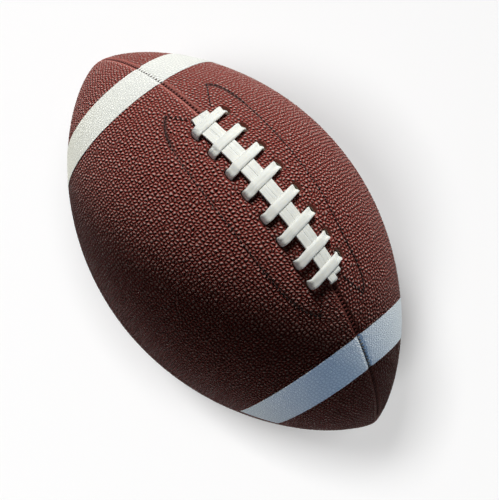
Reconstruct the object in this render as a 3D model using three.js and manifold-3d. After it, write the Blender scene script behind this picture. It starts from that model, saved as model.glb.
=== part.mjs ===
// American football lying on its belly with the lacing up.
// Millimetres, +X along the ball, +Y across the lacing, +Z up, origin under the belly.
import * as THREE from "three";
import Module from "manifold-3d";

const wasm = await Module();
wasm.setup();

// Ball: at a share s of its half length, the radius is R (1 - s^2)^profilePower.
const ballLength = 282;
const ballDiameter = 171.3;
const profilePower = 0.72;

// Layers from the outside in.
const panelThickness = 2.7;
const liningThickness = 1.2;
const facingThickness = 1.2;
const tongueThickness = 1.2;
const bladderThickness = 1.2;
const layerGap = 0.3;

// Seams: panel edges roll down into a groove that holds the thread.
const seamGap = 0.8;
const rollDepth = 1.5;
const rollWidth = 3;
const shoulderShare = 0.35; // where the roll changes slope, from the edge
const shoulderDepth = 0.4;
const seamThreadDiameter = 0.8;

// Printed stripes on the laced panels, measured along the ball's axis from its tips.
const stripeFromTip = 34.5;
const stripeWidth = 19.5;
const stripeSlant = 3.6; // how far a stripe leans toward the tip over a quarter turn
const stripeThickness = 0.25;
const stripeGap = 0.15;

// Lace: a flat strip with two strands along the seam and whip-stitched crossings over them.
const laceWidth = 6;
const strandWidth = 4.6; // the strands are drawn narrower
const laceThickness = 1.6;
const laceGap = 0.5;
const laceUnderGap = 1;
const laceBend = 1.8;
const crossings = 8;
const crossingPitch = 14.1;
const crossingLean = 3.7;
const holeSpacing = 24.6;
const holeClearance = 0.5;
const strandOverhang = 5.2; // past the last crossing
const strandSkew = 2.5; // how far the strands lie off the seam at the last crossing
const laceTurn = 8; // radius of the hidden turn that joins the strands
const laceLead = 4; // radius of the hidden turn into the first hole
const laceTail = 22;

// Facings behind the laced edges, and the stitch line that holds each.
const stitchOverhang = 20; // past the last crossing
const stitchWidth = 28.5;
const stitchThreadDiameter = 0.6;
const stitchCorner = 14.5;
const stitchLegX = 7.6; // past the last crossing
const stitchLegAcross = 7.5;
const facingMargin = 3;
const outlinePower = 3;

// Tongue under the lacing.
const tongueOverhang = 32; // past the last crossing
const tongueHalfWidth = 27;

// Valve, in the middle of a lower panel.
const valveAngle = (7 * Math.PI) / 4;
const valveStemDiameter = 8.4;
const valveBore = 3;
const valveFlangeDiameter = 22;
const valveFlangeThickness = 1.4;
const valveRecess = 0.6;
const needleBore = 1;
const needleDepth = 4;

// Facets.
const rows = 24;
const upperSteps = 8; // per quarter turn
const lowerSteps = 4;
const threadSides = 5;
const valveSides = 24;
const laceStep = 7;
const bendSteps = 3;
const stitchSteps = 40;
const stripeBands = 2;

const halfLength = ballLength / 2;
const maxRadius = ballDiameter / 2;
const quarter = Math.PI / 2;
const laceHalf = (crossingPitch * (crossings - 1)) / 2;
const stripeInnerX = halfLength - stripeFromTip - stripeWidth;
const liningInset = panelThickness + layerGap;
const facingInset = liningInset + liningThickness + layerGap;
const bladderInset = liningInset + liningThickness + layerGap;
const laceUnder = facingInset + facingThickness + laceUnderGap + laceThickness / 2;
const tongueInset = laceUnder + laceThickness / 2 + laceGap;
const dentInset = tongueInset + tongueThickness + layerGap;

// Ball coordinates: s along the ball from -1 to 1, an angle about it, and a depth below the surface.
const fullness = (s) => (1 - s * s) ** profilePower;

function place(s, angle, inset) {
  const radius = (maxRadius - inset) * fullness(s);
  const x = (halfLength - inset) * s;
  return new THREE.Vector3(x, radius * Math.cos(angle), radius * Math.sin(angle));
}

// The same, from a distance along the ball and a distance across the laced seam.
function placeAcross(x, across, inset) {
  const s = x / halfLength;
  return place(s, quarter - across / (maxRadius * fullness(s)), inset);
}

// Rows run closer together toward the tips, where the four panels come to a point.
const cornerRadius = seamGap * Math.SQRT1_2;
const tipReach = Math.sqrt(1 - (cornerRadius / (maxRadius - panelThickness)) ** (1 / profilePower));
const rowPlace = (i) => tipReach * Math.sin(((2 * i) / rows - 1) * quarter);

// Solids

function solidFromTriangles(triangles) {
  const found = new Map();
  const points = [];
  const vertexOf = (p) => {
    const key = p.toArray().map((v) => Math.round(v * 1e4)).join();
    if (!found.has(key)) {
      found.set(key, points.length / 3);
      points.push(p.x, p.y, p.z);
    }
    return found.get(key);
  };
  const faces = triangles.map((t) => t.map(vertexOf)).filter((f) => new Set(f).size === 3);
  const build = (list) =>
    new wasm.Manifold(
      new wasm.Mesh({
        numProp: 3,
        vertProperties: new Float32Array(points),
        triVerts: new Uint32Array(list.flat()),
      }),
    );
  const made = build(faces);
  return made.volume() < 0 ? build(faces.map(([a, b, c]) => [a, c, b])) : made;
}

function solidFromQuads(quads) {
  return solidFromTriangles(quads.flatMap(([a, b, c, d]) => [[a, b, c], [a, c, d]]));
}

function solidFromGeometry(geometry, matrix) {
  const flat = (geometry.index ? geometry.toNonIndexed() : geometry).applyMatrix4(matrix);
  const position = flat.getAttribute("position");
  const corner = (i) => new THREE.Vector3().fromBufferAttribute(position, i);
  const triangles = [];
  for (let i = 0; i < position.count; i += 3) triangles.push([corner(i), corner(i + 1), corner(i + 2)]);
  return solidFromTriangles(triangles);
}

// A sheet between two grids of points, closed all round its edge.
function sheetSolid(outer, inner) {
  const quads = [];
  const last = outer.length - 1;
  const side = outer[0].length - 1;
  for (let i = 0; i < last; i++) {
    for (let j = 0; j < side; j++) {
      quads.push([outer[i][j], outer[i + 1][j], outer[i + 1][j + 1], outer[i][j + 1]]);
      quads.push([inner[i][j], inner[i][j + 1], inner[i + 1][j + 1], inner[i + 1][j]]);
    }
    quads.push([outer[i + 1][0], outer[i][0], inner[i][0], inner[i + 1][0]]);
    quads.push([outer[i][side], outer[i + 1][side], inner[i + 1][side], inner[i][side]]);
  }
  for (let j = 0; j < side; j++) {
    quads.push([outer[0][j], outer[0][j + 1], inner[0][j + 1], inner[0][j]]);
    quads.push([outer[last][j + 1], outer[last][j], inner[last][j], inner[last][j + 1]]);
  }
  return solidFromQuads(quads);
}

// A section swept along a path: each ring has its own width direction and its own section.
function sweepSolid(path, widths, sectionAt) {
  const rings = path.map((point, k) => {
    const before = path[Math.max(k - 1, 0)];
    const after = path[Math.min(k + 1, path.length - 1)];
    const along = after.clone().sub(before).normalize();
    const wide = widths[k].clone().addScaledVector(along, -widths[k].dot(along)).normalize();
    const thick = along.clone().cross(wide);
    return sectionAt(k).map(([w, t]) => point.clone().addScaledVector(wide, w).addScaledVector(thick, t));
  });
  const sides = rings[0].length;
  const quads = [];
  for (let k = 0; k + 1 < rings.length; k++)
    for (let j = 0; j < sides; j++) {
      const next = (j + 1) % sides;
      quads.push([rings[k][j], rings[k][next], rings[k + 1][next], rings[k + 1][j]]);
    }
  const first = rings[0];
  const end = rings[rings.length - 1];
  for (let j = 1; j + 1 < sides; j++) {
    quads.push([first[0], first[j + 1], first[j], first[0]]);
    quads.push([end[0], end[j], end[j + 1], end[0]]);
  }
  return { solid: solidFromQuads(quads), rings };
}

function roundSection(diameter) {
  return Array.from({ length: threadSides }, (_, k) => {
    const turn = (2 * Math.PI * k) / threadSides;
    return [(diameter / 2) * Math.cos(turn), (diameter / 2) * Math.sin(turn)];
  });
}

// Panels and linings, each a quarter of the ball

function edgeAngle(s, inset) {
  const radius = (maxRadius - inset) * fullness(s);
  return radius > cornerRadius ? Math.asin(seamGap / 2 / radius) : quarter / 2;
}

// Angles across a panel at s: its edge, the roll's shoulder, even steps, and the same at the far edge.
function panelColumns(s, inset) {
  const edge = edgeAngle(s, inset);
  const span = quarter - 2 * edge;
  const roll = Math.min(rollWidth / ((maxRadius - inset) * fullness(s)), span / 5);
  const shoulder = roll * shoulderShare;
  const even = Array.from(
    { length: upperSteps + 1 },
    (_, k) => edge + roll + ((span - 2 * roll) * k) / upperSteps,
  );
  return [edge, edge + shoulder, ...even, quarter - edge - shoulder, quarter - edge];
}

const flatColumns = Array(upperSteps + 1).fill(0);
const rollDepths = [rollDepth, shoulderDepth, ...flatColumns, shoulderDepth, rollDepth];

function panelSolid(startAngle) {
  const outer = [];
  const inner = [];
  for (let i = 0; i <= rows; i++) {
    const s = rowPlace(i);
    const atTip = i === 0 || i === rows;
    const angleOf = (angle) => startAngle + (atTip ? quarter / 2 : angle);
    const depthOf = (j) => (atTip ? shoulderDepth : rollDepths[j]);
    outer.push(panelColumns(s, 0).map((a, j) => place(s, angleOf(a), depthOf(j))));
    inner.push(panelColumns(s, panelThickness).map((a) => place(s, angleOf(a), panelThickness)));
  }
  return sheetSolid(outer, inner);
}

function liningSolid(startAngle, steps) {
  const grid = (inset) =>
    Array.from({ length: rows + 1 }, (_, i) => {
      const s = rowPlace(i);
      const edge = i === 0 || i === rows ? quarter / 2 : edgeAngle(s, inset);
      return Array.from({ length: steps + 1 }, (_, k) =>
        place(s, startAngle + edge + ((quarter - 2 * edge) * k) / steps, inset),
      );
    });
  return sheetSolid(grid(liningInset), grid(liningInset + liningThickness));
}

// A patch under the lacing on the ball's own rows, between two columns counted from the laced seam.
// A patch that lies on one side only stops short of the seam.
function topPatch(reach, fromColumn, toColumn, outerInset, thickness) {
  const step = quarter / upperSteps;
  const grid = (inset) =>
    rowsOver(reach).map((i) => {
      const s = rowPlace(i);
      const seam = Math.sign(fromColumn + toColumn) * edgeAngle(s, inset);
      const list = [];
      for (let k = fromColumn; k <= toColumn; k++)
        list.push(place(s, quarter - (k === 0 ? seam : k * step), inset));
      return list;
    });
  return sheetSolid(grid(outerInset), grid(outerInset + thickness));
}

// The rows from the last one before -reach to the first one past it.
function rowsOver(reach) {
  const all = Array.from({ length: rows + 1 }, (_, i) => i);
  const inside = all.filter((i) => Math.abs(rowPlace(i)) * halfLength < reach);
  return [inside[0] - 1, ...inside, inside[inside.length - 1] + 1];
}

// The facing and the tongue have a full oval outline, drawn as a superellipse.
const bow = (v) => Math.sign(v) * Math.abs(v) ** (2 / outlinePower);
const ovalPoint = (halfX, halfY, turn) => [halfX * bow(Math.cos(turn)), halfY * bow(Math.sin(turn))];

// An upright prism over that oval.
function ovalPrism(halfX, halfY) {
  const outline = Array.from({ length: stitchSteps }, (_, k) => {
    const turn = (2 * Math.PI * k) / stitchSteps;
    return new THREE.Vector2(...ovalPoint(halfX, halfY, turn));
  });
  const geometry = new THREE.ExtrudeGeometry(new THREE.Shape(outline), {
    depth: ballDiameter,
    bevelEnabled: false,
  });
  return solidFromGeometry(geometry, new THREE.Matrix4());
}

const facingReach = laceHalf + stitchOverhang + facingMargin;
const facingWidth = stitchWidth + facingMargin;
const facingColumns = Math.ceil(facingWidth / maxRadius / (quarter / upperSteps)) + 1;
const facingOval = ovalPrism(facingReach, facingWidth);

function facingSolid(side) {
  const from = side > 0 ? 0 : -facingColumns;
  const patch = topPatch(facingReach, from, from + facingColumns, facingInset, facingThickness);
  return patch.intersect(facingOval);
}

const tongueReach = laceHalf + tongueOverhang;
const tongueColumns = Math.ceil(tongueHalfWidth / (maxRadius - dentInset) / (quarter / upperSteps));

function tongueSolid() {
  const patch = topPatch(tongueReach, -tongueColumns, tongueColumns, tongueInset, tongueThickness);
  return patch.intersect(ovalPrism(tongueReach, tongueHalfWidth));
}

// Bladder: it is pressed in under the tongue, and the valve's stem passes through its wall.
function bladderSolid() {
  const dentRows = new Set(rowsOver(tongueReach));
  const columns = [];
  for (let k = 0; k < 2 * upperSteps; k++) columns.push((k * quarter) / upperSteps);
  for (let k = 0; k < 2 * lowerSteps; k++) columns.push(Math.PI + (k * quarter) / lowerSteps);
  const dentAngle = ((tongueColumns + 0.5) * quarter) / upperSteps;
  const closed = (extra) => {
    const grid = Array.from({ length: rows + 1 }, (_, i) => {
      const s = rowPlace(i);
      const onAxis = i === 0 || i === rows;
      return columns.map((angle) => {
        const dented = dentRows.has(i) && Math.abs(angle - quarter) < dentAngle;
        const point = place(s, angle, (dented ? dentInset : bladderInset) + extra);
        return onAxis ? new THREE.Vector3(point.x, 0, 0) : point;
      });
    });
    const quads = [];
    for (let i = 0; i < rows; i++)
      columns.forEach((_, j) => {
        const next = (j + 1) % columns.length;
        quads.push([grid[i][j], grid[i + 1][j], grid[i + 1][next], grid[i][next]]);
      });
    return solidFromQuads(quads);
  };
  return closed(0).subtract(closed(bladderThickness));
}

// Lace

const strandAcross = (strandWidth + laceGap) / 2;
const strandsWidth = 2 * strandWidth + laceGap;
const strandRise = laceGap + laceThickness / 2;
const crossingRise = strandRise + laceThickness + laceGap;
// Where a crossing, past the strands, starts to drop to its hole.
const shoulderAcross = (strandsWidth + laceThickness) / 2 + laceGap;
const holeAcross = holeSpacing / 2;
const crossingX = (i) => i * crossingPitch - laceHalf;
const leftHoleX = (i) => crossingX(i) + crossingLean / 2;
const rightHoleX = (i) => crossingX(i) - crossingLean / 2;
const aftSlotX = -laceHalf - strandOverhang;
const foreSlotX = laceHalf + strandOverhang;
const strandMiddle = (x) => (strandSkew * x) / laceHalf;
const spreadBelow = maxRadius / (maxRadius - laceUnder); // keeps the strands' gap below the facing

// The lace's route from its fore tail to its aft tail: x, across, depth, the turn of its width from +X, and
// its width.
function laceStations() {
  const route = [];
  const add = (x, across, inset, turn, width) => route.push({ x, across, inset, turn, width });
  // A quarter bend between a level run and the upright run through a hole or slot.
  const bend = (x, across, level, dx, dy, turn, leaving, width) => {
    const toward = level > 0 ? -laceBend : laceBend;
    for (let k = 0; k <= bendSteps; k++) {
      const a = ((leaving ? bendSteps - k : k) / bendSteps) * quarter;
      const out = laceBend * (1 - Math.sin(a));
      const rise = toward * (1 - Math.cos(a));
      add(x + dx * out, across + dy * out, level + rise, turn, width);
    }
  };
  const strand = (fromX, toX, offset, turn) => {
    const ahead = Math.sign(toX - fromX);
    const across = (x) => strandMiddle(x) + offset;
    const below = (x) => strandMiddle(x) + offset * spreadBelow;
    bend(fromX, below(fromX), laceUnder, -ahead, 0, turn, false, strandWidth);
    bend(fromX, across(fromX), -strandRise, ahead, 0, turn, true, strandWidth);
    bend(toX, across(toX), -strandRise, -ahead, 0, turn, false, strandWidth);
    bend(toX, below(toX), laceUnder, ahead, 0, turn, true, strandWidth);
  };
  // A level arc behind the facing, about a centre, by the angle of the point from +X in degrees.
  const arc = (x, across, radius, angles, turnOffset) => {
    for (const angle of angles) {
      const a = THREE.MathUtils.degToRad(angle);
      add(x + radius * Math.cos(a), across + radius * Math.sin(a), laceUnder, angle + turnOffset, laceWidth);
    }
  };
  // Up through the left hole, over the strands and down through the right one.
  const crossing = (i, fromOutside) => {
    const left = leftHoleX(i);
    const right = rightHoleX(i);
    bend(left, -holeAcross, laceUnder, 0, fromOutside ? -1 : 1, 0, false, laceWidth);
    bend(left, -holeAcross, -strandRise, 0, 1, 0, true, laceWidth);
    for (const side of [-1, 1]) {
      const across = strandMiddle(crossingX(i)) + side * shoulderAcross;
      add(crossingX(i) - (crossingLean * across) / holeSpacing, across, -crossingRise, 0, laceWidth);
    }
    bend(right, holeAcross, -strandRise, 0, -1, 0, false, laceWidth);
    bend(right, holeAcross, laceUnder, 0, -1, 0, true, laceWidth);
  };

  add(foreSlotX + laceTail, strandMiddle(foreSlotX) + strandAcross * spreadBelow, laceUnder, 90, strandWidth);
  strand(foreSlotX, aftSlotX, strandAcross, 90);
  arc(aftSlotX - laceTurn - laceBend, strandMiddle(aftSlotX), laceTurn, [90, 135, 180, 225, 270], 0);
  strand(aftSlotX, foreSlotX, -strandAcross, 270);
  const last = crossings - 1;
  const turnTop = strandMiddle(foreSlotX) - strandAcross * spreadBelow;
  const turnBottom = -holeAcross - laceBend - laceGap - laceLead;
  const turnRadius = (turnTop - turnBottom) / 2;
  arc(foreSlotX + 2 * laceBend, turnTop - turnRadius, turnRadius, [90, 45, 0, -45, -90], 180);
  arc(leftHoleX(last) + laceLead, turnBottom + laceLead, laceLead, [270, 225, 180], -180);
  for (let i = last; i >= 0; i--) crossing(i, i === last);
  add(rightHoleX(0), holeAcross / 2, laceUnder, 0, laceWidth);
  return route;
}

function laceSolid() {
  const route = laceStations();
  const spline = new THREE.CatmullRomCurve3(
    route.map((r) => new THREE.Vector3(r.x, r.across, r.inset)),
    false,
    "centripetal",
  );
  const path = [];
  const widths = [];
  const halfWidths = [];
  const nudge = 0.01;
  const sample = (k, f) => {
    const at = spline.getPoint((k + f) / (route.length - 1));
    const from = route[k];
    const to = route[Math.min(k + 1, route.length - 1)];
    const a = THREE.MathUtils.degToRad(THREE.MathUtils.lerp(from.turn, to.turn, f));
    const here = placeAcross(at.x, at.y, at.z);
    const wide = placeAcross(at.x + nudge * Math.cos(a), at.y + nudge * Math.sin(a), at.z);
    path.push(here);
    widths.push(wide.sub(here).normalize());
    halfWidths.push(THREE.MathUtils.lerp(from.width, to.width, f) / 2);
  };
  for (let k = 0; k + 1 < route.length; k++) {
    const from = route[k];
    const to = route[k + 1];
    const length = Math.hypot(to.x - from.x, to.across - from.across, to.inset - from.inset);
    const steps = Math.max(1, Math.round(length / laceStep));
    for (let n = 0; n < steps; n++) sample(k, n / steps);
  }
  sample(route.length - 1, 0);
  const t = laceThickness / 2;
  const sectionAt = (k) => {
    const w = halfWidths[k];
    return [[w, -t], [w, t], [-w, t], [-w, -t]];
  };
  const { solid, rings } = sweepSolid(path, widths, sectionAt);
  printLaceGap(path, rings);
  return solid;
}

// The least gap between stretches of the lace that are further apart along it than a bend is long.
function printLaceGap(path, rings) {
  const along = [0];
  for (let k = 1; k < path.length; k++) along.push(along[k - 1] + path[k].distanceTo(path[k - 1]));
  const nearest = 4 * laceBend + laceWidth;
  const grid = rings.map((ring) => {
    const points = [];
    for (const f of [0, 0.25, 0.5, 0.75, 1])
      points.push(ring[0].clone().lerp(ring[3], f), ring[1].clone().lerp(ring[2], f));
    return points;
  });
  let least = Infinity;
  for (let a = 0; a < grid.length; a++)
    for (let b = a + 1; b < grid.length; b++) {
      if (along[b] - along[a] < nearest || path[a].distanceTo(path[b]) > 3 * laceWidth) continue;
      for (const p of grid[a]) {
        for (const q of grid[b]) least = Math.min(least, p.distanceTo(q));
      }
    }
  const length = along[along.length - 1];
  console.log(`lace length ${length.toFixed(0)} mm, least gap to itself ${least.toFixed(2)} mm`);
}

// A slot through every layer above the lace's hidden runs, long across or along the ball.
function slotCutter(x, across, alongX, acrossY) {
  const low = placeAcross(x, across, tongueInset);
  const high = placeAcross(x, across, -panelThickness);
  const up = high.clone().sub(low);
  const depth = up.length();
  up.normalize();
  const yAxis = new THREE.Vector3(1, 0, 0).cross(up).negate().normalize();
  const xAxis = yAxis.clone().cross(up).normalize();
  const w = alongX / 2 + holeClearance;
  const t = acrossY / 2 + holeClearance;
  const shape = new THREE.Shape([
    new THREE.Vector2(-w, -t),
    new THREE.Vector2(w, -t),
    new THREE.Vector2(w, t),
    new THREE.Vector2(-w, t),
  ]);
  const geometry = new THREE.ExtrudeGeometry(shape, { depth, bevelEnabled: false });
  const matrix = new THREE.Matrix4().makeBasis(xAxis, up.clone().cross(xAxis), up).setPosition(low);
  return solidFromGeometry(geometry, matrix);
}

function laceCutters(side) {
  const list = [];
  for (let i = 0; i < crossings; i++) {
    const x = side > 0 ? rightHoleX(i) : leftHoleX(i);
    list.push(slotCutter(x, side * holeAcross, laceWidth, laceThickness));
  }
  for (const x of [aftSlotX, foreSlotX])
    list.push(slotCutter(x, strandMiddle(x), laceThickness, strandsWidth));
  return list;
}

const cutBy = (solid, cutters) => cutters.reduce((left, cutter) => left.subtract(cutter), solid);

// Threads

// The thread lies in the groove, clear of both rolled edges.
const wallRun = rollWidth * shoulderShare;
const wallRise = rollDepth - shoulderDepth;
const threadReach = (seamThreadDiameter / 2 + layerGap) * Math.hypot(wallRun, wallRise);
const seamThreadInset = rollDepth - (threadReach - (wallRise * seamGap) / 2) / wallRun;

function seamThread(angle, fromX, toX) {
  const list = [];
  for (let i = 1; i < rows; i++) list.push(rowPlace(i));
  const inside = list.filter((s) => s * halfLength > fromX && s * halfLength < toX);
  if (fromX > -halfLength) inside.unshift(fromX / halfLength);
  if (toX < halfLength) inside.push(toX / halfLength);
  const path = inside.map((s) => place(s, angle, seamThreadInset));
  const across = new THREE.Vector3(0, -Math.sin(angle), Math.cos(angle));
  return sweepSolid(path, path.map(() => across), () => roundSection(seamThreadDiameter)).solid;
}

// The stitch line: a leg in to the lacing, round the facing's outline, and out again.
function stitchThread(side) {
  const halfX = laceHalf + stitchOverhang;
  const start = Math.asin((stitchCorner / stitchWidth) ** (outlinePower / 2));
  const legX = laceHalf + stitchLegX;
  const line = [[legX, stitchLegAcross]];
  for (let k = 0; k <= stitchSteps; k++) {
    const turn = start + ((Math.PI - 2 * start) * k) / stitchSteps;
    line.push(ovalPoint(halfX, stitchWidth, turn));
  }
  line.push([-legX, stitchLegAcross]);
  const lift = -(stitchThreadDiameter / 2 + layerGap);
  const path = line.map(([x, across]) => placeAcross(x, side * across, lift));
  const outward = path.map((p) => new THREE.Vector3(0, p.y, p.z).normalize());
  return sweepSolid(path, outward, () => roundSection(stitchThreadDiameter)).solid;
}

// Printed stripe: a film over one laced panel, which follows the panel's rolled edge.
function stripeSolid(startAngle, end) {
  const grid = (lift) =>
    Array.from({ length: stripeBands + 1 }, (_, i) => {
      const x = stripeInnerX + (stripeWidth * i) / stripeBands;
      const middle = panelColumns(x / halfLength, 0);
      return middle.slice(1, -1).map((_, j) => {
        const angle = startAngle + middle[j + 1];
        const lean = stripeSlant * (1 - angle / quarter);
        const s = (end * (x + lean)) / halfLength;
        return place(s, startAngle + panelColumns(s, 0)[j + 1], rollDepths[j + 1] - lift);
      });
    });
  return sheetSolid(grid(stripeGap + stripeThickness), grid(stripeGap));
}

// Valve

function turnedAtValve(profile) {
  const points = profile.map(([radius, height]) => new THREE.Vector2(radius, height));
  const geometry = new THREE.LatheGeometry(points, valveSides);
  const outward = new THREE.Vector3(0, Math.cos(valveAngle), Math.sin(valveAngle));
  const turn = new THREE.Quaternion().setFromUnitVectors(new THREE.Vector3(0, 1, 0), outward);
  return solidFromGeometry(geometry, new THREE.Matrix4().makeRotationFromQuaternion(turn));
}

const valveFace = maxRadius - valveRecess;
const bladderFloor = maxRadius - bladderInset - bladderThickness;
const flangeRadius = valveFlangeDiameter / 2;
const stemRadius = valveStemDiameter / 2;
const facetSag = bladderFloor * (1 - Math.cos(quarter / lowerSteps / 2));
const flangeTop = Math.sqrt(bladderFloor ** 2 - flangeRadius ** 2) - facetSag - layerGap;
const flangeBottom = flangeTop - valveFlangeThickness;

function valveBody() {
  const bore = valveBore / 2;
  return turnedAtValve([
    [bore, flangeBottom],
    [flangeRadius, flangeBottom],
    [flangeRadius, flangeTop],
    [stemRadius, flangeTop],
    [stemRadius, valveFace],
    [bore, valveFace],
    [bore, flangeBottom],
  ]);
}

function valvePlug() {
  const radius = valveBore / 2 - layerGap;
  const top = valveFace - layerGap;
  return turnedAtValve([
    [0, flangeBottom],
    [radius, flangeBottom],
    [radius, top],
    [needleBore / 2, top],
    [needleBore / 2, top - needleDepth],
    [0, top - needleDepth],
  ]);
}

function valveCutter() {
  const radius = stemRadius + layerGap;
  return turnedAtValve([
    [0, flangeBottom - valveFlangeThickness],
    [radius, flangeBottom - valveFlangeThickness],
    [radius, maxRadius + panelThickness],
    [0, maxRadius + panelThickness],
  ]);
}

// Assembly

const finishes = {
  leather: { color: 0x5d2f28, roughness: 0.5 },
  print: { color: 0xe6e6e4, roughness: 0.55 },
  lace: { color: 0xf0f0ec, roughness: 0.5 },
  seamThread: { color: 0x4a1512, roughness: 0.7 },
  stitchThread: { color: 0x14100f, roughness: 0.7 },
  lining: { color: 0xcfc6b4, roughness: 0.9 },
  facing: { color: 0x6b5038, roughness: 0.8 },
  tongue: { color: 0x2a2725, roughness: 0.85 },
  bladder: { color: 0x1f1f21, roughness: 0.6 },
  valve: { color: 0x151515, roughness: 0.6 },
};

const ball = new THREE.Group();

function addPiece(name, finish, solid) {
  const mesh = solid.getMesh();
  const count = mesh.numProp;
  const points = new Float32Array(mesh.numVert * 3);
  for (let i = 0; i < mesh.numVert; i++)
    points.set(mesh.vertProperties.subarray(i * count, i * count + 3), i * 3);
  const geometry = new THREE.BufferGeometry();
  geometry.setAttribute("position", new THREE.BufferAttribute(points, 3));
  geometry.setIndex(new THREE.BufferAttribute(mesh.triVerts, 1));
  geometry.computeVertexNormals();
  const piece = new THREE.Mesh(
    geometry,
    new THREE.MeshStandardMaterial({ ...finishes[finish], metalness: 0 }),
  );
  piece.name = name;
  ball.add(piece);
  return solid;
}

const sides = [
  { name: "right", sign: 1, upper: 0, lower: 3 * quarter },
  { name: "left", sign: -1, upper: quarter, lower: 2 * quarter },
];
let lowest = 0;
for (const { name, sign, upper, lower } of sides) {
  const cutters = laceCutters(sign);
  const valveHole = valveAngle > lower && valveAngle < lower + quarter ? [valveCutter()] : [];
  addPiece(`laced_panel_${name}`, "leather", cutBy(panelSolid(upper), cutters));
  addPiece(`laced_panel_lining_${name}`, "lining", cutBy(liningSolid(upper, upperSteps), cutters));
  addPiece(`lace_facing_${name}`, "facing", cutBy(facingSolid(sign), cutters));
  addPiece(`facing_stitch_${name}`, "stitchThread", stitchThread(sign));
  const panel = addPiece(`lower_panel_${name}`, "leather", cutBy(panelSolid(lower), valveHole));
  addPiece(`lower_panel_lining_${name}`, "lining", cutBy(liningSolid(lower, lowerSteps), valveHole));
  addPiece(`stripe_fore_${name}`, "print", stripeSolid(upper, 1));
  addPiece(`stripe_aft_${name}`, "print", stripeSolid(upper, -1));
  lowest = Math.min(lowest, panel.boundingBox().min[2]);
}

const slotReach = laceThickness / 2 + holeClearance + layerGap;
addPiece("lace", "lace", laceSolid());
addPiece("lace_tongue", "tongue", tongueSolid());
addPiece("bladder", "bladder", cutBy(bladderSolid(), [valveCutter()]));
addPiece("valve_body", "valve", valveBody());
addPiece("valve_plug", "valve", valvePlug());
addPiece("seam_thread_right", "seamThread", seamThread(0, -halfLength, halfLength));
addPiece("seam_thread_left", "seamThread", seamThread(2 * quarter, -halfLength, halfLength));
addPiece("seam_thread_bottom", "seamThread", seamThread(3 * quarter, -halfLength, halfLength));
addPiece("seam_thread_top_aft", "seamThread", seamThread(quarter, -halfLength, aftSlotX - slotReach));
addPiece("seam_thread_top_fore", "seamThread", seamThread(quarter, foreSlotX + slotReach, halfLength));

ball.position.z = -lowest;

export default ball;
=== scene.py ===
# An american football lying with its lacing up: pebbled leather, printed bands, lace, thread and rubber.
# Metres, +X along the ball, +Y across the lacing, +Z up.
import math

import bpy
import numpy as np
from mathutils import Matrix, Vector


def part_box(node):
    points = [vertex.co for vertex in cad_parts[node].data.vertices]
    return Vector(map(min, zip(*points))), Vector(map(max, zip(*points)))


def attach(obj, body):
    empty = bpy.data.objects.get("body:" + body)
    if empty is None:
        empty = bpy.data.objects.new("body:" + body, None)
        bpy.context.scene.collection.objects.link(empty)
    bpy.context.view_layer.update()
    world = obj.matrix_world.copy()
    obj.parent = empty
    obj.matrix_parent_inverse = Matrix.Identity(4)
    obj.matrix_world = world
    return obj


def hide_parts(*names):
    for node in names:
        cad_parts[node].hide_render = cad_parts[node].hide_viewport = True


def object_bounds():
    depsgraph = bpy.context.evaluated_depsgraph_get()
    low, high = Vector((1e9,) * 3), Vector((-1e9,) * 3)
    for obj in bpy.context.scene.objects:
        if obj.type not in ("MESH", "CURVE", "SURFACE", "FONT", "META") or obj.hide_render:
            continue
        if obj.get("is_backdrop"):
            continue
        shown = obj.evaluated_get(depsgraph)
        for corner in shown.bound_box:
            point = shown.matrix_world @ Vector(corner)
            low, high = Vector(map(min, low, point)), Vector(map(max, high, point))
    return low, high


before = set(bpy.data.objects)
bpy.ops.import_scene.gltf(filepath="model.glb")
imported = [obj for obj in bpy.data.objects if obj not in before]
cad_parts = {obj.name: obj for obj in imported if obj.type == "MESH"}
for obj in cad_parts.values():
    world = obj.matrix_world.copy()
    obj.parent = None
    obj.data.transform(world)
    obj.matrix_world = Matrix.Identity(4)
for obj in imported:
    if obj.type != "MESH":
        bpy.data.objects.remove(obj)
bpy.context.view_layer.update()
print("frame loaded:", len(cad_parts), "nodes")

quarter = math.pi / 2

# the ball itself, from the outside in
ball = {
    "halfLength": 0.141,
    "radius": 0.08565,
    "power": 0.72,  # of the profile, higher is more pointed
    "centre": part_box("lower_panel_right")[1].y,  # a lower panel reaches as far sideways as it does down
    "panel": 0.0027,
    "lining": 0.0012,
    "facing": 0.0012,
    "tongue": 0.0012,
    "bladder": 0.0012,
    "layerGap": 0.0003,
}
liningInset = ball["panel"] + ball["layerGap"]
facingInset = liningInset + ball["lining"] + ball["layerGap"]
bladderInset = facingInset


def fullness(s):
    return np.clip(1 - s * s, 0, 1) ** ball["power"]


def radiusAt(s):
    return ball["radius"] * fullness(s)


# s runs along the ball from -1 to 1, the angle starts at +Y and turns up, and the inset goes in
# from the surface
def place(s, angle, inset):
    radius = (ball["radius"] - inset) * fullness(s)
    x = (ball["halfLength"] - inset) * s
    return np.stack([x, radius * np.cos(angle), ball["centre"] + radius * np.sin(angle)], axis=-1)


# the same from a distance along the ball and a distance across the laced seam
def placeAcross(x, across, inset):
    s = x / ball["halfLength"]
    return place(s, quarter - across / radiusAt(s), inset)


# length along the outside of the ball from its middle
shareTable = np.sin(np.linspace(-quarter, quarter, 4001))
stepTable = np.hypot(np.diff(ball["halfLength"] * shareTable), np.diff(radiusAt(shareTable)))
arcTable = np.concatenate([[0], np.cumsum(stepTable)])
arcTable -= arcTable[-1] / 2


def arcOf(s):
    return np.interp(s, shareTable, arcTable)


def shareOf(arc):
    return np.interp(arc, arcTable, shareTable)


def easeIn(value, start, end):
    t = np.clip((value - start) / (end - start), 0, 1)
    return t * t * (3 - 2 * t)


# helpers for pieces

def pickOnly(piece):
    bpy.ops.object.select_all(action="DESELECT")
    piece.select_set(True)
    bpy.context.view_layer.objects.active = piece


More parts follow.
